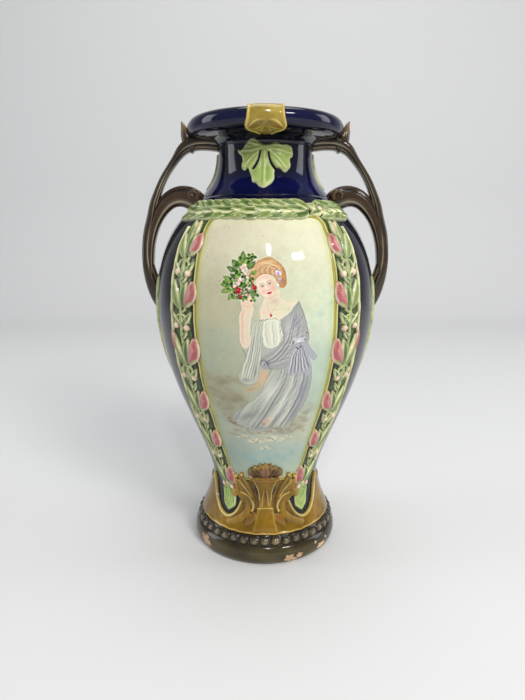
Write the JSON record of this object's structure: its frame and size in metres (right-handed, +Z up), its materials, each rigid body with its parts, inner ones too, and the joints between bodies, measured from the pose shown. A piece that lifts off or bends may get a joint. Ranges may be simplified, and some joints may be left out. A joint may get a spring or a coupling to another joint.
{
  "type": "two-handled majolica vase",
  "caption": "Baluster vase in glazed earthenware with a rolled rim, double-loop side handles, moulded flower garlands, a portrait panel and a beaded foot.",
  "frame": {"origin": "centre of the foot ring on the plane the vase stands on", "axes": "+Z up the axis of the vase, -Y towards the front portrait panel, handles along X"},
  "size_m": [0.174, 0.1542, 0.3014],
  "materials": {
    "cobalt_glaze": "deep cobalt blue glossy glaze, purple-grey where it thins",
    "ochre_glaze": "glossy amber-ochre glaze, brown in the recesses, cream on the edges",
    "olive_brown_glaze": "glossy dark olive-brown glaze with pale worn edges and chips",
    "umber_glaze": "glossy dark umber glaze breaking brown and grey along the ridges",
    "pale_green_glaze": "glossy pale yellow-green glaze, dark green in the recesses",
    "garland_glaze": "glossy green leaves with pink tulips and cream highlights",
    "printed_panel": "clear glossy glaze over a cream ground with a coloured transfer picture",
    "amber_glaze": "glossy yellow-ochre glaze with cream outlines"
  },
  "bodies": {
    "root": {"body": "cobalt_glaze", "neck": "cobalt_glaze", "rim": "cobalt_glaze", "foot_collar": "ochre_glaze", "palmette_front": "ochre_glaze", "palmette_back": "ochre_glaze", "foot_ring": "olive_brown_glaze", "bead_band": "olive_brown_glaze", "handle_left_strap": "umber_glaze", "handle_left_branch": "umber_glaze", "handle_right_strap": "umber_glaze", "handle_right_branch": "umber_glaze", "laurel_front": "pale_green_glaze", "laurel_back": "pale_green_glaze", "neck_leaf_front": "pale_green_glaze", "neck_leaf_back": "pale_green_glaze", "neck_side_leaf_left": "pale_green_glaze", "neck_side_leaf_right": "pale_green_glaze", "side_leaf_left": "pale_green_glaze", "side_leaf_right": "pale_green_glaze", "garland_front_left": "garland_glaze", "garland_front_right": "garland_glaze", "garland_back_left": "garland_glaze", "garland_back_right": "garland_glaze", "panel_front": "printed_panel", "panel_back": "printed_panel", "panel_frame_front": "amber_glaze", "panel_frame_back": "amber_glaze", "rim_cartouche_front": "amber_glaze", "rim_cartouche_back": "amber_glaze"}
  },
  "joints": []
}
